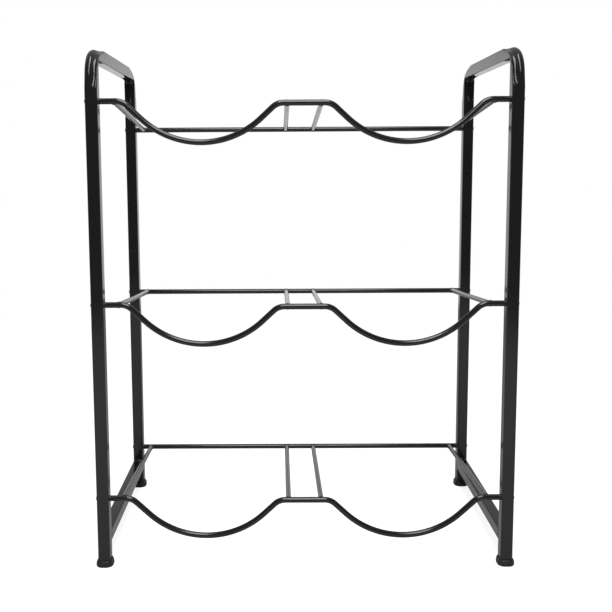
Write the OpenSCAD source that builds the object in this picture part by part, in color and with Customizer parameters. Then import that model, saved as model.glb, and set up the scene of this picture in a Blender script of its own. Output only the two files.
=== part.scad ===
// Free-standing bottle rack: two arched square-tube side frames, joined by three
// bolted wire tiers. Each tier is a front rod bent into two round cradles, a
// straight rear rod set lower, and four depth rails welded between them.
// +Z is up and -Y is the front. The origin is on the floor, at the middle of the rack.

/* [Overall] */
// Clear width between the two side frames
clear_width = 610; // [560:5:660]
// Depth over the legs of one side frame
frame_depth = 338; // [300:2:380]
// Height from the floor to the top of the side frames
frame_height = 800; // [790:5:900]

/* [Side frames] */
// Outside size of the square tube
tube_size = 19; // [18:0.5:22]
// Wall thickness of the square tube
tube_wall = 1.2; // [1:0.1:1.5]
// Outside corner radius of the square tube
tube_corner = 2.5; // [2:0.1:3]
// Inside radius of the two upper bends
bend_inner_radius = 9.5; // [8:0.5:14]
// Height of the lower crossbar's centre line
crossbar_height = 44; // [40:1:60]

/* [Tiers] */
// Height of the lowest tier, at the flat ends of its front rod
first_tier_height = 108; // [100:1:120]
// Vertical distance from one tier to the next
tier_spacing = 306; // [290:1:310]
// How much lower the rear rod sits than the front rod's flat ends
rear_drop = 30; // [20:1:40]
// Diameter of the front and rear rods
rod_diameter = 9; // [8:0.5:10]
// Diameter of the depth rails
rail_diameter = 8; // [6:0.5:8.5]

/* [Cradles] */
// Distance from the middle of the rack to a cradle's lowest point
cradle_offset = 153.5; // [150:0.5:158]
// Depth of a cradle below the rod's flat ends
cradle_depth = 61; // [56:0.5:64]
// How much lower the rod's flat middle sits than its flat ends
middle_drop = 3.5; // [1:0.5:5]
// Radius of the cradle's round bottom, at the rod's centre line
bowl_radius = 131; // [126:1:134]
// Radius of the bend at each edge of a cradle, at the rod's centre line
shoulder_radius = 24; // [20:1:26]
// Slope of the cradle's sides
cradle_angle = 43; // [40:0.5:44]

/* [Depth rails] */
// Distance from the middle of the rack to each centre rail
centre_rail_x = 25.5; // [22:0.5:27]
// Distance from the middle to the front end of each side rail
side_rail_front_x = 283; // [282:0.5:290]
// Distance from the middle to the rear end of each side rail
side_rail_rear_x = 290; // [280:0.5:294]
// Radius of the weld bead at the end of a rail
weld_radius = 4.9; // [4.6:0.1:5.2]

/* [Bolts] */
// Diameter of the bolt shank
bolt_diameter = 4.9; // [3.9:0.1:5]
// Length of the bolt under its head
bolt_length = 35; // [30:1:40]
// Diameter of the button head
bolt_head_diameter = 9.5; // [8:0.5:10.5]
// Height of the button head
bolt_head_height = 2.75; // [2:0.25:3]
// Size of the hexagon socket across its flats
bolt_socket_size = 3; // [2.5:0.5:3]

/* [Feet] */
// Outside size of a foot
foot_size = 27; // [25:0.5:30]
// Height of a foot
foot_height = 10; // [8:1:14]
// Thickness of the foot under the leg
foot_floor = 3; // [2:0.5:5]
// Outside corner radius of a foot
foot_corner = 10; // [8:0.5:12]

/* [Hidden] */
$fn = 48;

coat_black = [0.07, 0.07, 0.075];
plastic_black = [0.03, 0.03, 0.03];
bolt_black = [0.12, 0.12, 0.12];

// Which side and which end of the rack a repeated part is on
left = -1;
right = 1;
front = -1;
rear = 1;

// Heights of the three tiers
bottom = first_tier_height;
middle = first_tier_height + tier_spacing;
top = first_tier_height + 2 * tier_spacing;

// Places that several parts share
half_width = clear_width / 2;
side_x = half_width + tube_size / 2;
leg_y = frame_depth / 2 - tube_size / 2;
bend_outer_radius = bend_inner_radius + tube_size;
bend_centre_radius = bend_inner_radius + tube_size / 2;

// A cradle's side: two arcs with a straight length between them
bend_rise = (shoulder_radius + bowl_radius) * (1 - cos(cradle_angle));
bend_run = (shoulder_radius + bowl_radius) * sin(cradle_angle);
outer_slope = (cradle_depth - bend_rise) / sin(cradle_angle);
inner_slope = (cradle_depth - middle_drop - bend_rise) / sin(cradle_angle);
outer_flat_x = cradle_offset + bend_run + outer_slope * cos(cradle_angle);
inner_flat_x = cradle_offset - bend_run - inner_slope * cos(cradle_angle);

// How finely the cradle rod's bends and its round section are divided
arc_step = 7.2;
rod_sides = 18;

// Clearances
slide_gap = 0.1;
weld_gap = 0.05;
weld_length = 3;
bolt_hole_diameter = bolt_diameter + 0.6;
thread_diameter = bolt_diameter + 0.1;
thread_depth = bolt_length - tube_size + 2;
socket_depth = bolt_head_height * 0.6;
over = 1;

// ---- Square tube ----

module rounded_square(size, radius) {
    square([size, size - 2 * radius], center = true);
    square([size - 2 * radius, size], center = true);
    for (x = [-1, 1], y = [-1, 1])
        translate([x, y] * (size / 2 - radius))
            circle(r = radius);
}

module tube_section() {
    difference() {
        rounded_square(tube_size, tube_corner);
        rounded_square(tube_size - 2 * tube_wall, tube_corner - tube_wall);
    }
}

// A straight length of tube along Y, centred on the origin
module tube_along_y(length) {
    translate([0, length / 2, 0])
        rotate([90, 0, 0])
            linear_extrude(height = length)
                tube_section();
}

module bend_and_leg() {
    translate([0, -leg_y, foot_floor])
        linear_extrude(height = frame_height - bend_outer_radius - foot_floor)
            tube_section();
    translate([0, bend_outer_radius - frame_depth / 2, frame_height - bend_outer_radius])
        rotate([90, 0, -90])
            rotate_extrude(angle = 90)
                translate([bend_centre_radius, 0])
                    tube_section();
}

// ---- Side frames ----

module side_tube(side) {
    color(coat_black)
        difference() {
            translate([side * side_x, 0, 0]) {
                bend_and_leg();
                mirror([0, 1, 0])
                    bend_and_leg();
                translate([0, 0, frame_height - tube_size / 2])
                    tube_along_y(frame_depth - 2 * bend_outer_radius);
            }
            for (tier = [bottom, middle, top], end = [front, rear])
                translate([side * side_x, end * leg_y, tier - (end == rear ? rear_drop : 0)])
                    rotate([0, 90, 0])
                        cylinder(h = tube_size + 2 * over, d = bolt_hole_diameter, center = true);
        }
}

module lower_crossbar(side) {
    color(coat_black)
        translate([side * side_x, 0, crossbar_height])
            tube_along_y(frame_depth - 2 * tube_size);
}

// ---- Feet ----

module foot(side, end) {
    sole_height = foot_floor * 0.7;
    collar_height = 2.5;
    color(plastic_black)
        translate([side * side_x, end * leg_y, 0])
            difference() {
                union() {
                    linear_extrude(height = foot_height)
                        rounded_square(foot_size - 2.4, foot_corner - 1.2);
                    translate([0, 0, sole_height])
                        linear_extrude(height = foot_height - sole_height - collar_height)
                            rounded_square(foot_size, foot_corner);
                }
                translate([0, 0, foot_floor])
                    linear_extrude(height = foot_height)
                        rounded_square(tube_size + 2 * slide_gap, tube_corner + slide_gap);
            }
}

// ---- Rods ----

// Stations along an arc in the XZ plane. Each is [x, z, direction of the rod's upper side].
// The upper side faces away from the centre on a shoulder, and towards it in a bowl.
function arc_stations(centre, radius, from_angle, to_angle, upper_turn) = [
    let (steps = ceil(abs(to_angle - from_angle) / arc_step))
    for (i = [0:steps])
        let (angle = from_angle + (to_angle - from_angle) * i / steps)
            [centre[0] + radius * cos(angle), centre[1] + radius * sin(angle), angle - upper_turn]
];

// One cradle, from the rod's right end inwards to the rod's flat middle
half_stations = concat(
    [[half_width, 0, 90]],
    arc_stations(
        [outer_flat_x, -shoulder_radius], shoulder_radius,
        90, 90 + cradle_angle, 0
    ),
    arc_stations(
        [cradle_offset, bowl_radius - cradle_depth], bowl_radius,
        270 + cradle_angle, 270 - cradle_angle, 180
    ),
    arc_stations(
        [inner_flat_x, -middle_drop - shoulder_radius], shoulder_radius,
        90 - cradle_angle, 90, 0
    )
);

// The whole rod, from its right end to its left end
rod_stations = concat(
    half_stations,
    [for (i = [len(half_stations) - 1:-1:0])
        [-half_stations[i][0], half_stations[i][1], 180 - half_stations[i][2]]]
);

// A round ring of points in the plane across the rod at one station
function ring(station) = [
    for (k = [0:rod_sides - 1])
        let (turn = 360 * k / rod_sides, reach = rod_diameter / 2 * cos(turn))
            [
                station[0] + reach * cos(station[2]),
                rod_diameter / 2 * sin(turn),
                station[1] + reach * sin(station[2])
            ]
];

module cradle_rod() {
    last = len(rod_stations) - 1;
    points = [for (station = rod_stations) each ring(station)];
    walls = [
        for (i = [0:last - 1], k = [0:rod_sides - 1])
            let (next = (k + 1) % rod_sides)
                [
                    i * rod_sides + k, (i + 1) * rod_sides + k,
                    (i + 1) * rod_sides + next, i * rod_sides + next
                ]
    ];
    right_end = [for (k = [0:rod_sides - 1]) k];
    left_end = [for (k = [rod_sides - 1:-1:0]) last * rod_sides + k];
    polyhedron(points = points, faces = concat(walls, [right_end, left_end]));
}

module thread_holes() {
    for (side = [left, right])
        translate([side * (half_width - thread_depth / 2 + over / 2), 0, 0])
            rotate([0, 90, 0])
                cylinder(h = thread_depth + over, d = thread_diameter, center = true);
}

module front_rod(tier) {
    color(coat_black)
        translate([0, -leg_y, tier])
            difference() {
                cradle_rod();
                thread_holes();
            }
}

module rear_rod(tier) {
    color(coat_black)
        translate([0, leg_y, tier - rear_drop])
            difference() {
                rotate([0, 90, 0])
                    cylinder(h = clear_width, d = rod_diameter, center = true);
                thread_holes();
            }
}

// ---- Depth rails ----

// A rail from the front rod's axis to the rear rod's, cut back to the rods' surfaces
module depth_rail(tier, front_x, rear_x, front_drop) {
    span = [rear_x - front_x, 2 * leg_y, front_drop - rear_drop];
    length = norm(span);
    pitch = acos(span[2] / length);
    yaw = atan2(span[1], span[0]);
    bead_start = rod_diameter * 0.4;
    color(coat_black)
        difference() {
            translate([front_x, -leg_y, tier - front_drop])
                rotate([0, pitch, yaw]) {
                    cylinder(h = length, d = rail_diameter);
                    translate([0, 0, bead_start])
                        cylinder(h = weld_length, r1 = weld_radius, r2 = rail_diameter / 2);
                    translate([0, 0, length - bead_start - weld_length])
                        cylinder(h = weld_length, r1 = rail_diameter / 2, r2 = weld_radius);
                }
            for (end = [front, rear])
                translate([0, end * leg_y, tier - (end == rear ? rear_drop : front_drop)])
                    rotate([0, 90, 0])
                        cylinder(h = clear_width, d = rod_diameter + 2 * weld_gap, center = true);
        }
}

module side_rail(tier, side) {
    depth_rail(tier, side * side_rail_front_x, side * side_rail_rear_x, 0);
}

module centre_rail(tier, side) {
    depth_rail(tier, side * centre_rail_x, side * centre_rail_x, middle_drop);
}

// ---- Bolts ----

// A button-head bolt along +Z, with the underside of its head at the origin
module bolt() {
    // The dome is the cap of the ball that passes through the head's edge and top
    dome_radius = (pow(bolt_head_diameter / 2, 2) + pow(bolt_head_height, 2))
        / (2 * bolt_head_height);
    difference() {
        union() {
            rotate([180, 0, 0])
                cylinder(h = bolt_length, d = bolt_diameter);
            intersection() {
                cylinder(h = bolt_head_height, d = bolt_head_diameter);
                translate([0, 0, bolt_head_height - dome_radius])
                    sphere(r = dome_radius);
            }
        }
        translate([0, 0, bolt_head_height - socket_depth])
            cylinder(h = bolt_head_height, d = bolt_socket_size / cos(30), $fn = 6);
    }
}

module tier_bolts(tier) {
    color(bolt_black)
        for (side = [left, right], end = [front, rear])
            translate([
                side * (half_width + tube_size), end * leg_y, tier - (end == rear ? rear_drop : 0)
            ])
                rotate([0, side * 90, 0])
                    bolt();
}

// ---- Parts ----

side_tube(left);  // left_side_tube
side_tube(right);  // right_side_tube
lower_crossbar(left);  // left_lower_crossbar
lower_crossbar(right);  // right_lower_crossbar
foot(left, front);  // front_left_foot
foot(right, front);  // front_right_foot
foot(left, rear);  // rear_left_foot
foot(right, rear);  // rear_right_foot

front_rod(top);  // top_front_rod
rear_rod(top);  // top_rear_rod
side_rail(top, left);  // top_left_rail
centre_rail(top, left);  // top_centre_left_rail
centre_rail(top, right);  // top_centre_right_rail
side_rail(top, right);  // top_right_rail
tier_bolts(top);  // top_bolts

front_rod(middle);  // middle_front_rod
rear_rod(middle);  // middle_rear_rod
side_rail(middle, left);  // middle_left_rail
centre_rail(middle, left);  // middle_centre_left_rail
centre_rail(middle, right);  // middle_centre_right_rail
side_rail(middle, right);  // middle_right_rail
tier_bolts(middle);  // middle_bolts

front_rod(bottom);  // bottom_front_rod
rear_rod(bottom);  // bottom_rear_rod
side_rail(bottom, left);  // bottom_left_rail
centre_rail(bottom, left);  // bottom_centre_left_rail
centre_rail(bottom, right);  // bottom_centre_right_rail
side_rail(bottom, right);  // bottom_right_rail
tier_bolts(bottom);  // bottom_bolts
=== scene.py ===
"""A free-standing bottle rack: two arched square-tube side frames joined by three wire tiers.

The CAD model gives the sizes and places. Each of its nodes is shown here by a detailed mesh:
tubes that are flattened where they bend, smooth rods, weld beads, moulded feet and bolt heads.
Lengths are in metres. +Z is up and -Y is the front.
"""

from math import ceil, cos, exp, pi, radians, sin, sqrt, tau

import bmesh
import bpy
from mathutils import Matrix, Vector


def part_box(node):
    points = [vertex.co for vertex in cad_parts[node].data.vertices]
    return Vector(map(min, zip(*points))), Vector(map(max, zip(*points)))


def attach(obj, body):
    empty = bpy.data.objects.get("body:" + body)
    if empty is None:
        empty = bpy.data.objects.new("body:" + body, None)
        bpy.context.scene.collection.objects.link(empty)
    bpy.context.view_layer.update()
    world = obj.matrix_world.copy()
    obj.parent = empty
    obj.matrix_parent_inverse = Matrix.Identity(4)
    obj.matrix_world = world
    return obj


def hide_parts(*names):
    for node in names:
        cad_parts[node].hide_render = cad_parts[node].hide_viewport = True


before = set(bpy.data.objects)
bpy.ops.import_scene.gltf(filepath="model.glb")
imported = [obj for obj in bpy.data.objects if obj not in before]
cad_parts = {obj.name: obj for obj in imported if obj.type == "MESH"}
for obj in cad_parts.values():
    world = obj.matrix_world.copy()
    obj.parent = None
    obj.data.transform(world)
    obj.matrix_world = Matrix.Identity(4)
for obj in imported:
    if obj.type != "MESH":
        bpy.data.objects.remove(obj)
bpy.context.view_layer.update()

MM = 0.001
SIDES = {"left": -1, "right": 1}
ENDS = {"front": -1, "rear": 1}
TIERS = ("top", "middle", "bottom")
RAILS = ("left_rail", "centre_left_rail", "centre_right_rail", "right_rail")


# ---- Sizes and places, from the CAD nodes ----

tube_low, tube_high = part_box("right_side_tube")
TUBE = tube_high.x - tube_low.x
SIDE_X = (tube_low.x + tube_high.x) / 2
DEPTH = tube_high.y - tube_low.y
HEIGHT = tube_high.z
LEG_Y = (DEPTH - TUBE) / 2
HALF_WIDTH = tube_low.x

rod_low, rod_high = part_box("top_rear_rod")
ROD_RADIUS = (rod_high.z - rod_low.z) / 2

foot_low, foot_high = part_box("front_right_foot")
FOOT = foot_high.x - foot_low.x
FOOT_HEIGHT = foot_high.z - foot_low.z

# Sizes that no node's box shows, as in the CAD model
TUBE_CORNER = 2.5 * MM
BEND_INNER_RADIUS = 9.5 * MM
RAIL_RADIUS = 4 * MM
CRADLE_OFFSET = 153.5 * MM
CRADLE_DEPTH = 61 * MM
MIDDLE_DROP = 3.5 * MM
BOWL_RADIUS = 131 * MM
SHOULDER_RADIUS = 24 * MM
CRADLE_ANGLE = radians(43)
BOLT_RADIUS = 2.45 * MM
BOLT_LENGTH = 35 * MM
SOCKET_SIZE = 3 * MM
FOOT_FLOOR = 3 * MM
SOCKET_GAP = 0.1 * MM


# ---- Shapes ----

X, Y, Z = Vector((1, 0, 0)), Vector((0, 1, 0)), Vector((0, 0, 1))
SHARP_ANGLE = radians(38)


class Shell:
    """The points and faces of one piece, which may be several closed skins."""

    def __init__(self):
        self.points = []
        self.faces = []

    def sweep(self, rings, loop=False):
        """Joins rings of points into a skin.

        A loop's last ring meets its first. Otherwise both ends are capped.
        """
        start = len(self.points)
        count = len(rings[0])
        for ring in rings:
            self.points.extend(ring)
        spans = len(rings) if loop else len(rings) - 1
        for i in range(spans):
            here = start + i * count
            there = start + (i + 1) % len(rings) * count
            for k in range(count):
                after = (k + 1) % count
                self.faces.append((here + k, there + k, there + after, here + after))
        if not loop:
            last = start + (len(rings) - 1) * count
            self.faces.append(tuple(range(start, start + count)))
            self.faces.append(tuple(range(last + count - 1, last - 1, -1)))

    def piece(self, node, material):
        """Makes the piece that stands for a CAD node."""
        name = node + "_detail"
        mesh = bpy.data.meshes.new(name)
        mesh.from_pydata([tuple(p) for p in self.points], [], self.faces)
        mesh.materials.append(material)
        outward(mesh)
        mesh.shade_smooth()
        mesh.set_sharp_from_angle(angle=SHARP_ANGLE)
        obj = bpy.data.objects.new(name, mesh)
        bpy.context.scene.collection.objects.link(obj)
        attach(obj, "root")
        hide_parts(node)


def outward(mesh):
    """Turns every skin's faces outwards."""
    bm = bmesh.new()
    bm.from_mesh(mesh)
    bmesh.ops.recalc_face_normals(bm, faces=bm.faces)
    bm.to_mesh(mesh)
    bm.free()


def bell(x, reach):
    """1 at x = 0, falling smoothly to 0 at x = reach."""
    return cos(pi / 2 * min(abs(x) / reach, 1)) ** 2


def pan(x, reach):
    """1 near x = 0, falling smoothly to 0 between x = reach / 2 and x = reach."""
    return rise(2 - 2 * abs(x) / reach)


def rise(x):
    """0 up to x = 0, rising smoothly to 1 at x = 1."""
    x = min(max(x, 0), 1)
    return x * x * (3 - 2 * x)


def steps(start, end, spacing):
    """Evenly spaced values from start to end, both included."""
    count = max(1, ceil(abs(end - start) / spacing))
    return [start + (end - start) * i / count for i in range(count + 1)]


def rounded_square(size, corner, side_points=15, corner_points=6):
    """Points round a square with round corners, as pairs (across, outward)."""
    flat = size / 2 - corner
    side = [(x, size / 2) for x in steps(-flat, flat, 2 * flat / (side_points - 1))]
    arc = [
        (flat + corner * sin(a), flat + corner * cos(a))
        for a in steps(0, pi / 2, pi / 2 / corner_points)[1:-1]
    ]
    points = []
    for _ in range(4):
        points += side + arc
        side = [(y, -x) for x, y in side]
        arc = [(y, -x) for x, y in arc]
    return points


def circle(centre, u, v, radius, count=24):
    """A ring of points round centre, in the plane of the unit vectors u and v."""
    return [
        centre + u * radius * cos(a) + v * radius * sin(a)
        for a in (tau * k / count for k in range(count))
    ]


# ---- Side tubes ----

BEND_OUTER_RADIUS = BEND_INNER_RADIUS + TUBE
BEND_CENTRE_RADIUS = BEND_INNER_RADIUS + TUBE / 2
BEND_ARC = BEND_CENTRE_RADIUS * pi / 2

# The press flattens the tube round each bend: its outer wall takes a wider curve than its
# inner one, with a groove along it and sunken shoulders, and its inner wall buckles
PRESS_RADIUS = 50 * MM
GROOVE_REACH = 52 * MM
GROOVE_BEGINNING = 25 * MM
GROOVE_DEPTH = 4.8 * MM
GROOVE_ACROSS = 5.2 * MM
GROOVE_HALF_WIDTH = 7.5 * MM
SHOULDER_SINK = 1.6 * MM
NARROWING = 0.05
INNER_REACH = 51 * MM
INNER_BEGINNING = 16 * MM
INNER_GROOVE_DEPTH = 3.2 * MM
# The inner wall's two grooves: (place across, half width), as shares of half the tube
INNER_GROOVES = ((0.38, 0.56), (-0.55, 0.36))
CREASE_DEPTH = 1.6 * MM
CREASE_REACH = 3.5 * MM
DIMPLE_DEPTH = 2.2 * MM
DIMPLE_REACH = 3.8 * MM
# How far the dimple in a side wall is from the tube's centre, as a share of half the tube
DIMPLE_INWARD = 0.6
# The spacing of the tube's stations round a bend
BEND_STEP = 1 * MM
# The spacing of the crossbars' stations
STRAIGHT_STEP = 60 * MM


def pressed_by(centre, out):
    """How far the press pushes the outer wall in, at a station of the front bend."""
    press = centre - Vector((0, PRESS_RADIUS - DEPTH / 2, HEIGHT - PRESS_RADIUS))
    ahead = press.dot(out)
    inside = ahead**2 - press.length_squared + PRESS_RADIUS**2
    if inside < 0:
        return 0
    reach = sqrt(inside) - ahead
    met = press + out * reach
    return max(TUBE / 2 - reach, 0) if met.y < 0 < met.z else 0


def flattened(across, out, along, pressed):
    """Moves a point of the tube's section to where the press leaves it.

    across and out are measured from the tube's centre: across towards the rack's middle, out
    away from the bend's centre. along is the distance from the middle of the bend.
    """
    half = TUBE / 2
    outer = rise(out / half)
    inner = rise(-out / half)
    share = (out + half) / TUBE
    begun = rise((GROOVE_REACH - abs(along)) / GROOVE_BEGINNING)
    buckled = rise((INNER_REACH - abs(along)) / INNER_BEGINNING)
    groove = GROOVE_DEPTH * bell(across - GROOVE_ACROSS, GROOVE_HALF_WIDTH)
    shoulder = SHOULDER_SINK * rise(abs(across) / half * 2 - 1)
    crease = CREASE_DEPTH * exp(-((along / CREASE_REACH) ** 2))
    hollow = 0
    for place, reach in INNER_GROOVES:
        hollow += INNER_GROOVE_DEPTH * pan(across - half * place, half * reach)
    dimple = exp(-(((out + half * DIMPLE_INWARD) ** 2 + along**2) / DIMPLE_REACH**2))
    wall = rise(abs(across) / half * 4 - 3)
    out -= share * pressed + outer * begun * (groove + shoulder)
    out += inner * (crease + hollow * buckled)
    squeeze = NARROWING * outer * begun * abs(across) + DIMPLE_DEPTH * dimple * wall
    across -= squeeze if across > 0 else -squeeze
    return across, out


def frame_station(along):
    """The tube's centre and outward direction, at a distance from the middle of the front bend."""
    turn = min(max(along / BEND_CENTRE_RADIUS, -pi / 4), pi / 4)
    beyond = along - turn * BEND_CENTRE_RADIUS
    out = Vector((0, -cos(pi / 4 + turn), sin(pi / 4 + turn)))
    centre = Vector((0, BEND_OUTER_RADIUS - DEPTH / 2, HEIGHT - BEND_OUTER_RADIUS))
    centre += out * BEND_CENTRE_RADIUS
    centre += (Y if beyond > 0 else Z) * beyond
    return centre, out


def side_tube(side):
    """An arch: front leg, bend, top bar, bend and rear leg."""
    section = rounded_square(TUBE, TUBE_CORNER)
    leg_end = tube_low.z - (HEIGHT - BEND_OUTER_RADIUS) - BEND_ARC / 2
    bar_end = DEPTH / 2 - BEND_OUTER_RADIUS + BEND_ARC / 2
    fine = steps(-GROOVE_REACH, GROOVE_REACH, BEND_STEP)
    straight = GROOVE_REACH * 1.2
    half_frame = []
    for along in [leg_end, -straight] + fine + [straight, bar_end]:
        centre, out = frame_station(along)
        pressed = pressed_by(centre, out)
        ring = []
        for point in section:
            across, outward_by = flattened(*point, along, pressed)
            ring.append(X * side * (SIDE_X - across) + centre + out * outward_by)
        half_frame.append(ring)
    rear_half = [[Vector((p.x, -p.y, p.z)) for p in ring] for ring in half_frame[-2::-1]]
    shell = Shell()
    shell.sweep(half_frame + rear_half)
    return shell


# ---- Weld beads ----

RAIL_BEAD = 1.15 * MM
CROSSBAR_BEAD = 1.9 * MM
BEAD_SIDES = 12
BEAD_STATIONS = 64
BEAD_TAPER = 0.35
# How far a rail's bead stands off the rod, as a share of the bead's radius
BEAD_STAND_OFF = 0.3
RIPPLE = 0.14


def ripple(turn, seed):
    """How a bead's thickness varies along it, round 1, as three waves that seldom agree."""
    waves = sin(9 * turn + seed) + 0.6 * sin(14 * turn + 2.3 * seed) + 0.4 * sin(23 * turn + seed)
    return 1 + RIPPLE * waves / 2


def rail_bead(shell, joint, along, seed):
    """A bead round a rail's end, where it meets a rod whose axis is along X through joint."""
    v = X.cross(along).normalized()
    rings = []
    for k in range(BEAD_STATIONS):
        turn = tau * k / BEAD_STATIONS
        radial = X * cos(turn) + v * sin(turn)
        # From the rod's axis, along the rail, to the rod's surface
        reach = sqrt(max(ROD_RADIUS**2 - (RAIL_RADIUS * sin(turn)) ** 2, 0))
        centre = joint + along * (reach + RAIL_BEAD * BEAD_STAND_OFF) + radial * RAIL_RADIUS
        thickness = RAIL_BEAD * ripple(turn, seed)
        rings.append(circle(centre, radial, along, thickness, BEAD_SIDES))
    shell.sweep(rings, loop=True)


def crossbar_bead(shell, start, end, seed):
    """A bead along X from start to end, thinning at both."""
    rings = []
    for t in steps(0.01, 0.99, 0.02):
        taper = min(1, (4 * t * (1 - t)) ** BEAD_TAPER)
        thickness = CROSSBAR_BEAD * taper * ripple(t * pi, seed)
        rings.append(circle(start.lerp(end, t), Y, Z, thickness, BEAD_SIDES))
    shell.sweep(rings)


def lower_crossbar(side_name):
    """A straight tube, with a bead above and below at each end."""
    side = SIDES[side_name]
    low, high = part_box(side_name + "_lower_crossbar")
    centre = (low + high) / 2
    section = rounded_square(TUBE, TUBE_CORNER)
    shell = Shell()
    shell.sweep(
        [
            [Vector((centre.x + x, y, centre.z + z)) for x, z in section]
            for y in steps(low.y, high.y, STRAIGHT_STEP)
        ]
    )
    # Half a bead's length
    reach = TUBE * 0.4
    for end in ENDS.values():
        for level in (-1, 1):
            edge = Vector((centre.x, end * high.y, centre.z + level * TUBE / 2))
            seed = 3 * side + 5 * end + level
            crossbar_bead(shell, edge - X * reach, edge + X * reach, seed)
    return shell


# ---- Rods ----

ARC_STEP = radians(2.5)
ROD_STEP = 100 * MM


def arc(centre, radius, start, end, upper_turn=0.0):
    """Stations along an arc, each (x, z, direction of the rod's upper side)."""
    return [
        (centre[0] + radius * cos(a), centre[1] + radius * sin(a), a - upper_turn)
        for a in steps(start, end, ARC_STEP)
    ]


def cradle_stations():
    """One cradle, from the rod's right end inwards to the rod's flat middle."""
    both = SHOULDER_RADIUS + BOWL_RADIUS
    slope = (CRADLE_DEPTH - both * (1 - cos(CRADLE_ANGLE))) / sin(CRADLE_ANGLE)
    inner_slope = slope - MIDDLE_DROP / sin(CRADLE_ANGLE)
    run = both * sin(CRADLE_ANGLE)
    outer_x = CRADLE_OFFSET + run + slope * cos(CRADLE_ANGLE)
    inner_x = CRADLE_OFFSET - run - inner_slope * cos(CRADLE_ANGLE)
    up, down = pi / 2, 3 * pi / 2
    bowl = (CRADLE_OFFSET, BOWL_RADIUS - CRADLE_DEPTH)
    return (
        [(HALF_WIDTH, 0, up)]
        + arc((outer_x, -SHOULDER_RADIUS), SHOULDER_RADIUS, up, up + CRADLE_ANGLE)
        + arc(bowl, BOWL_RADIUS, down + CRADLE_ANGLE, down - CRADLE_ANGLE, pi)
        + arc((inner_x, -MIDDLE_DROP - SHOULDER_RADIUS), SHOULDER_RADIUS, up - CRADLE_ANGLE, up)
    )


def front_rod(tier):
    """A rod with two cradles, the second a mirror image of the first."""
    half = cradle_stations()
    other = [(-x, z, pi - a) for x, z, a in reversed(half)]
    # The rod's flat ends are level with its highest points
    axis = Vector((0, -LEG_Y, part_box(tier + "_front_rod")[1].z - ROD_RADIUS))
    rings = []
    for x, z, upper in half + other:
        u = Vector((cos(upper), 0, sin(upper)))
        rings.append(circle(axis + X * x + Z * z, u, Y, ROD_RADIUS))
    shell = Shell()
    shell.sweep(rings)
    return shell


def rear_rod(tier):
    """A straight rod between the side frames."""
    low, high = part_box(tier + "_rear_rod")
    centre = (low + high) / 2
    shell = Shell()
    shell.sweep(
        [
            circle(Vector((x, centre.y, centre.z)), Z, Y, ROD_RADIUS)
            for x in steps(low.x, high.x, ROD_STEP)
        ]
    )
    return shell


# ---- Depth rails ----


def depth_rail(tier, name, seed):
    """A rail between the two rods' axes, with a weld bead at each end."""
    low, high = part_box(f"{tier}_{name}")
    # A centre rail lies along Y, so its box is as wide as any rail's end
    centre_low, centre_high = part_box(f"{tier}_centre_left_rail")
    half_end = (centre_high.x - centre_low.x) / 2
    front_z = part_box(tier + "_front_rod")[1].z - ROD_RADIUS
    rear_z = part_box(tier + "_rear_rod")[1].z - ROD_RADIUS
    if "centre" in name:
        front_x = rear_x = (low.x + high.x) / 2
        front_z -= MIDDLE_DROP
    elif "left" in name:
        front_x, rear_x = high.x - half_end, low.x + half_end
    else:
        front_x, rear_x = low.x + half_end, high.x - half_end
    front = Vector((front_x, -LEG_Y, front_z))
    rear = Vector((rear_x, LEG_Y, rear_z))
    along = (rear - front).normalized()
    v = X.cross(along).normalized()
    # The rail's ends are hidden inside the rods
    hidden = ROD_RADIUS * 0.3
    start = front + along * hidden
    end = rear - along * hidden
    shell = Shell()
    shell.sweep([circle(start.lerp(end, t), X, v, RAIL_RADIUS) for t in steps(0, 1, 0.2)])
    rail_bead(shell, front, along, seed)
    rail_bead(shell, rear, -along, seed + 1.7)
    return shell


# ---- Feet ----

# The foot's outline from its sole up: (height, width, corner radius), as shares of the foot's
# height, the foot's width and half the width there
FOOT_OUTLINE = (
    (0.00, 0.925, 0.78),
    (0.02, 0.955, 0.78),
    (0.06, 0.978, 0.78),
    (0.14, 0.992, 0.78),
    (0.28, 1.00, 0.78),
    (0.39, 0.992, 0.78),
    (0.44, 0.967, 0.77),
    (0.48, 0.958, 0.77),
    (0.52, 0.97, 0.76),
    (0.60, 0.978, 0.75),
    (0.70, 0.96, 0.74),
    (0.80, 0.92, 0.72),
    (0.89, 0.88, 0.70),
    (0.96, 0.85, 0.68),
    (0.99, 0.835, 0.66),
    (1.00, 0.815, 0.64),
)
# The socket's walls from its mouth down: (height, how much wider than the socket)
SOCKET_OUTLINE = (
    (FOOT_HEIGHT, 1.02),
    (FOOT_HEIGHT * 0.97, 1),
    (FOOT_FLOOR, 1),
)


def foot(side, end):
    """A moulded cap: its outline, then down inside the socket that holds the leg."""
    centre = Vector((side * SIDE_X, end * LEG_Y, foot_low.z))
    rings = [
        [
            centre + Vector((x, y, height * FOOT_HEIGHT))
            for x, y in rounded_square(FOOT * width, FOOT * width / 2 * corner)
        ]
        for height, width, corner in FOOT_OUTLINE
    ]
    socket = rounded_square(TUBE + 2 * SOCKET_GAP, TUBE_CORNER)
    for height, wider in SOCKET_OUTLINE:
        rings.append([centre + Vector((x * wider, y * wider, height)) for x, y in socket])
    shell = Shell()
    shell.sweep(rings)
    return shell


# ---- Bolts ----

BOLT_SIDES = 48
BOLT_CHAMFER = 0.5 * MM
# The head's lowest part is a short straight edge, then its dome begins
HEAD_EDGE = 0.12 * MM
DOME_STEP = 0.4 * MM
# The socket's round mouth just holds the hexagon's corners, and a small lip leads into it
SOCKET_MOUTH = SOCKET_SIZE * 0.62
SOCKET_LIP = 0.1 * MM
# How high the socket's floor is, as a share of the head's height
SOCKET_FLOOR = 0.4


def hexagon(size, turn):
    """The distance from the middle to the edge of a hexagon, size across its flats."""
    sixth = pi / 3
    return size / 2 / cos((turn % sixth) - sixth / 2)


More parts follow.
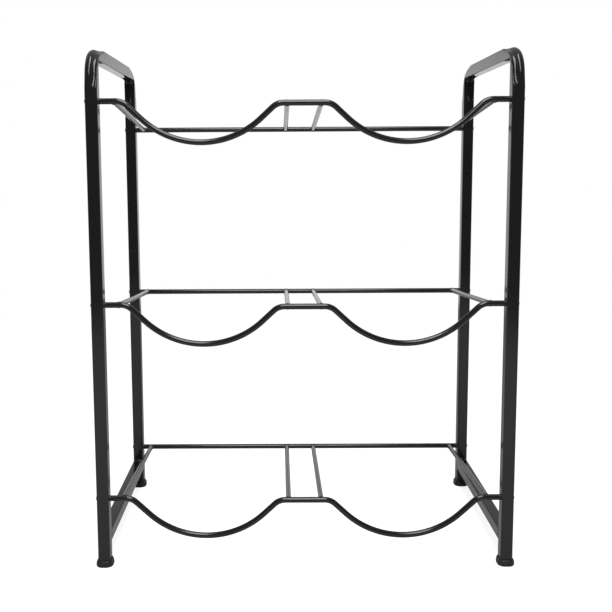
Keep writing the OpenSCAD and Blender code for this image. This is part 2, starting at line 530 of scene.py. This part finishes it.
def tier_bolts(tier):
    """Button-head bolts along X: each has a shank, a domed head and a hexagon socket."""
    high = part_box(tier + "_bolts")[1]
    front_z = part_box(tier + "_front_rod")[1].z - ROD_RADIUS
    rear_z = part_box(tier + "_rear_rod")[1].z - ROD_RADIUS
    head_base = HALF_WIDTH + TUBE
    head_height = high.x - head_base
    head_radius = high.z - front_z
    dome = (head_radius**2 + head_height**2) / (2 * head_height)
    below = dome - head_height
    mouth_height = sqrt(dome**2 - SOCKET_MOUTH**2) - below
    # The shank and head as (height over the head's underside, radius)
    outline = [
        (-BOLT_LENGTH, BOLT_RADIUS - BOLT_CHAMFER),
        (BOLT_CHAMFER - BOLT_LENGTH, BOLT_RADIUS),
        (0.0, BOLT_RADIUS),
        (0.0, head_radius * 0.97),
        (HEAD_EDGE, head_radius),
    ]
    for radius in steps(head_radius * 0.96, SOCKET_MOUTH, DOME_STEP):
        outline.append((sqrt(dome**2 - radius**2) - below, radius))
    turns = [tau * k / BOLT_SIDES for k in range(BOLT_SIDES)]
    rounds = [(height, [radius] * BOLT_SIDES) for height, radius in outline]
    six_sided = [hexagon(SOCKET_SIZE, turn) for turn in turns]
    rounds += [(mouth_height - SOCKET_LIP, six_sided), (head_height * SOCKET_FLOOR, six_sided)]
    places = ((ENDS["front"], front_z), (ENDS["rear"], rear_z))
    shell = Shell()
    for side in SIDES.values():
        for end, z in places:
            middle = Vector((side * head_base, end * LEG_Y, z))
            rings = []
            for height, radii in rounds:
                ring = [
                    middle + Vector((side * height, radius * cos(turn), radius * sin(turn)))
                    for radius, turn in zip(radii, turns)
                ]
                rings.append(ring)
            shell.sweep(rings)
    return shell


# ---- Materials ----


def new_material(name):
    """A material with its node tree and its Principled shader."""
    material = bpy.data.materials.new(name)
    material.use_nodes = True
    return material, material.node_tree, material.node_tree.nodes["Principled BSDF"]


def noise(tree, scale, detail):
    """A noise texture fixed to the object, with scale in features per metre."""
    place = tree.nodes.new("ShaderNodeTexCoord")
    texture = tree.nodes.new("ShaderNodeTexNoise")
    texture.inputs["Scale"].default_value = scale
    texture.inputs["Detail"].default_value = detail
    tree.links.new(place.outputs["Object"], texture.inputs["Vector"])
    return texture.outputs["Fac"]


def spread(tree, value, low, high):
    """Maps a noise's usual range, 0.35 to 0.65, to low to high."""
    node = tree.nodes.new("ShaderNodeMapRange")
    node.inputs["From Min"].default_value = 0.35
    node.inputs["From Max"].default_value = 0.65
    node.inputs["To Min"].default_value = low
    node.inputs["To Max"].default_value = high
    tree.links.new(value, node.inputs["Value"])
    return node.outputs["Result"]


def tint(tree, value, dark, light):
    """A colour between dark and light."""
    node = tree.nodes.new("ShaderNodeMix")
    node.data_type = "RGBA"
    node.inputs["A"].default_value = (*dark, 1)
    node.inputs["B"].default_value = (*light, 1)
    tree.links.new(value, node.inputs["Factor"])
    return node.outputs["Result"]


def bump(tree, layers):
    """Bumps laid over each other: each layer is (height, strength, depth in metres)."""
    normal = None
    for height, strength, depth in layers:
        node = tree.nodes.new("ShaderNodeBump")
        node.inputs["Strength"].default_value = strength
        node.inputs["Distance"].default_value = depth
        tree.links.new(height, node.inputs["Height"])
        if normal:
            tree.links.new(normal, node.inputs["Normal"])
        normal = node.outputs["Normal"]
    return normal


def powder_coat(name, gloss_low, gloss_high):
    """Semi-gloss black powder coat: fine orange peel, and gloss that varies a little."""
    material, tree, surface = new_material(name)
    link = tree.links.new
    patches = noise(tree, 28, detail=3)
    flecks = noise(tree, 1500, detail=1)
    dark, light = (0.009, 0.009, 0.0095), (0.014, 0.014, 0.0145)
    link(tint(tree, spread(tree, flecks, 0, 1), dark, light), surface.inputs["Base Color"])
    link(spread(tree, patches, gloss_low, gloss_high), surface.inputs["Roughness"])
    peel = noise(tree, 620, detail=2)
    waves = noise(tree, 130, detail=1)
    layers = [(waves, 0.12, 0.12 * MM), (peel, 0.1, 0.02 * MM)]
    link(bump(tree, layers), surface.inputs["Normal"])
    surface.inputs["IOR"].default_value = 1.5
    return material


def moulded_plastic(name):
    """Satin black plastic with a fine moulded grain."""
    material, tree, surface = new_material(name)
    link = tree.links.new
    grain = noise(tree, 2600, detail=2)
    patches = noise(tree, 90, detail=2)
    dark, light = (0.010, 0.010, 0.011), (0.018, 0.018, 0.019)
    link(tint(tree, spread(tree, patches, 0, 1), dark, light), surface.inputs["Base Color"])
    link(spread(tree, patches, 0.38, 0.5), surface.inputs["Roughness"])
    link(bump(tree, [(grain, 0.4, 0.03 * MM)]), surface.inputs["Normal"])
    return material


def black_oxide(name):
    """Oiled black oxide on steel, darker in its fine pores."""
    material, tree, surface = new_material(name)
    link = tree.links.new
    pores = noise(tree, 1800, detail=3)
    patches = noise(tree, 300, detail=2)
    dark, light = (0.02, 0.02, 0.022), (0.05, 0.05, 0.054)
    link(tint(tree, spread(tree, pores, 0, 1), dark, light), surface.inputs["Base Color"])
    link(spread(tree, patches, 0.28, 0.42), surface.inputs["Roughness"])
    link(bump(tree, [(pores, 0.2, 0.02 * MM)]), surface.inputs["Normal"])
    surface.inputs["Metallic"].default_value = 0.5
    return material


# ---- The rack ----

frame_coat = powder_coat("frame_powder_coat", 0.13, 0.18)
rod_coat = powder_coat("rod_powder_coat", 0.15, 0.2)
foot_plastic = moulded_plastic("foot_moulded_plastic")
bolt_oxide = black_oxide("bolt_black_oxide")

for side_name, side in SIDES.items():
    side_tube(side).piece(side_name + "_side_tube", frame_coat)
    lower_crossbar(side_name).piece(side_name + "_lower_crossbar", frame_coat)
    for end_name, end in ENDS.items():
        foot(side, end).piece(f"{end_name}_{side_name}_foot", foot_plastic)

for number, tier in enumerate(TIERS):
    front_rod(tier).piece(tier + "_front_rod", rod_coat)
    rear_rod(tier).piece(tier + "_rear_rod", rod_coat)
    tier_bolts(tier).piece(tier + "_bolts", bolt_oxide)
    for place, name in enumerate(RAILS):
        depth_rail(tier, name, len(RAILS) * number + place).piece(f"{tier}_{name}", rod_coat)


# ---- Floor, light and camera ----

FLOOR_RADIUS = 2.2
FLOOR_SIDES = 96


def floor():
    """A wide pale floor, bright enough to leave only faint shadows."""
    rim = circle(Vector((0, 0, 0)), X, Y, FLOOR_RADIUS, FLOOR_SIDES)
    mesh = bpy.data.meshes.new("floor")
    mesh.from_pydata(rim, [], [tuple(range(len(rim)))])
    material, tree, surface = new_material("floor_paper")
    tree.nodes.remove(surface)
    paper = tree.nodes.new("ShaderNodeBsdfDiffuse")
    paper.inputs["Color"].default_value = (0.55, 0.55, 0.55, 1)
    glow = tree.nodes.new("ShaderNodeEmission")
    path = tree.nodes.new("ShaderNodeLightPath")
    # How much the paper glows, to the rack and to the camera
    lift = tree.nodes.new("ShaderNodeMapRange")
    lift.inputs["To Min"].default_value = 0.08
    lift.inputs["To Max"].default_value = 0.82
    both = tree.nodes.new("ShaderNodeAddShader")
    tree.links.new(path.outputs["Is Camera Ray"], lift.inputs["Value"])
    tree.links.new(lift.outputs["Result"], glow.inputs["Strength"])
    tree.links.new(paper.outputs[0], both.inputs[0])
    tree.links.new(glow.outputs[0], both.inputs[1])
    tree.links.new(both.outputs[0], tree.nodes["Material Output"].inputs["Surface"])
    mesh.materials.append(material)
    obj = bpy.data.objects.new("floor", mesh)
    bpy.context.scene.collection.objects.link(obj)


def studio():
    """A white backdrop behind the rack, a dim room in front of it and a soft box overhead."""
    world = bpy.data.worlds.new("studio")
    bpy.context.scene.world = world
    world.use_nodes = True
    tree = world.node_tree
    new, link = tree.nodes.new, tree.links.new
    direction = new("ShaderNodeTexCoord")
    parts = new("ShaderNodeSeparateXYZ")
    link(direction.outputs["Generated"], parts.inputs[0])
    # 0 straight down, 1 straight up
    height = new("ShaderNodeMapRange")
    height.inputs["From Min"].default_value = -1
    link(parts.outputs["Z"], height.inputs["Value"])
    # How bright the backdrop is at each height
    backdrop = new("ShaderNodeValToRGB")
    levels = (
        (0.0, 0.42),
        (0.3, 0.42),
        (0.38, 0.95),
        (0.54, 1.0),
        (0.6, 0.62),
        (0.7, 0.38),
        (1.0, 0.5),
    )
    ramp = backdrop.color_ramp
    while len(ramp.elements) < len(levels):
        ramp.elements.new(0.5)
    for element, (at, level) in zip(ramp.elements, levels):
        element.position = at
        element.color = (level, level, level, 1)
    link(height.outputs["Result"], backdrop.inputs["Fac"])
    # The dim room in front turns into the backdrop behind
    behind = new("ShaderNodeMapRange")
    behind.interpolation_type = "SMOOTHSTEP"
    behind.inputs["From Min"].default_value = -0.4
    behind.inputs["From Max"].default_value = 0.5
    link(parts.outputs["Y"], behind.inputs["Value"])
    room = new("ShaderNodeMix")
    room.data_type = "RGBA"
    room.inputs["A"].default_value = (0.1, 0.1, 0.1, 1)
    link(behind.outputs["Result"], room.inputs["Factor"])
    link(backdrop.outputs["Color"], room.inputs["B"])
    # The camera sees plain white
    path = new("ShaderNodeLightPath")
    seen = new("ShaderNodeMix")
    seen.data_type = "RGBA"
    seen.inputs["B"].default_value = (1, 1, 1, 1)
    link(path.outputs["Is Camera Ray"], seen.inputs["Factor"])
    link(room.outputs["Result"], seen.inputs["A"])
    link(seen.outputs["Result"], tree.nodes["Background"].inputs["Color"])

    light = bpy.data.lights.new("soft_box", "AREA")
    light.shape = "RECTANGLE"
    light.size, light.size_y = 0.8, 2.6
    radiance = 7.0
    light.energy = radiance * pi * light.size * light.size_y
    box = bpy.data.objects.new("soft_box", light)
    box.location = (0, -1.3, 2.0)
    box.visible_camera = False
    bpy.context.scene.collection.objects.link(box)


def camera():
    """At the height of the rack's upper half and looking a little down, with a shift to frame it."""
    place = Vector((-0.0372, -1.3900, 0.6281))
    yaw = radians(-0.302)
    pitch = radians(-6.228)
    roll = radians(-0.309)
    data = bpy.data.cameras.new("camera")
    data.sensor_width = 36
    data.lens = 48.195
    data.shift_x = 0.0497
    data.shift_y = -0.088
    obj = bpy.data.objects.new("camera", data)
    forward = Vector((sin(yaw) * cos(pitch), cos(yaw) * cos(pitch), sin(pitch)))
    level = Vector((cos(yaw), -sin(yaw), 0))
    up = level.cross(forward)
    right = level * cos(roll) + up * sin(roll)
    up = up * cos(roll) - level * sin(roll)
    turn = Matrix((right, up, -forward)).transposed().to_4x4()
    obj.matrix_world = Matrix.Translation(place) @ turn
    bpy.context.scene.collection.objects.link(obj)
    bpy.context.scene.camera = obj


floor()
studio()
camera()
bpy.context.scene.view_settings.view_transform = "Standard"
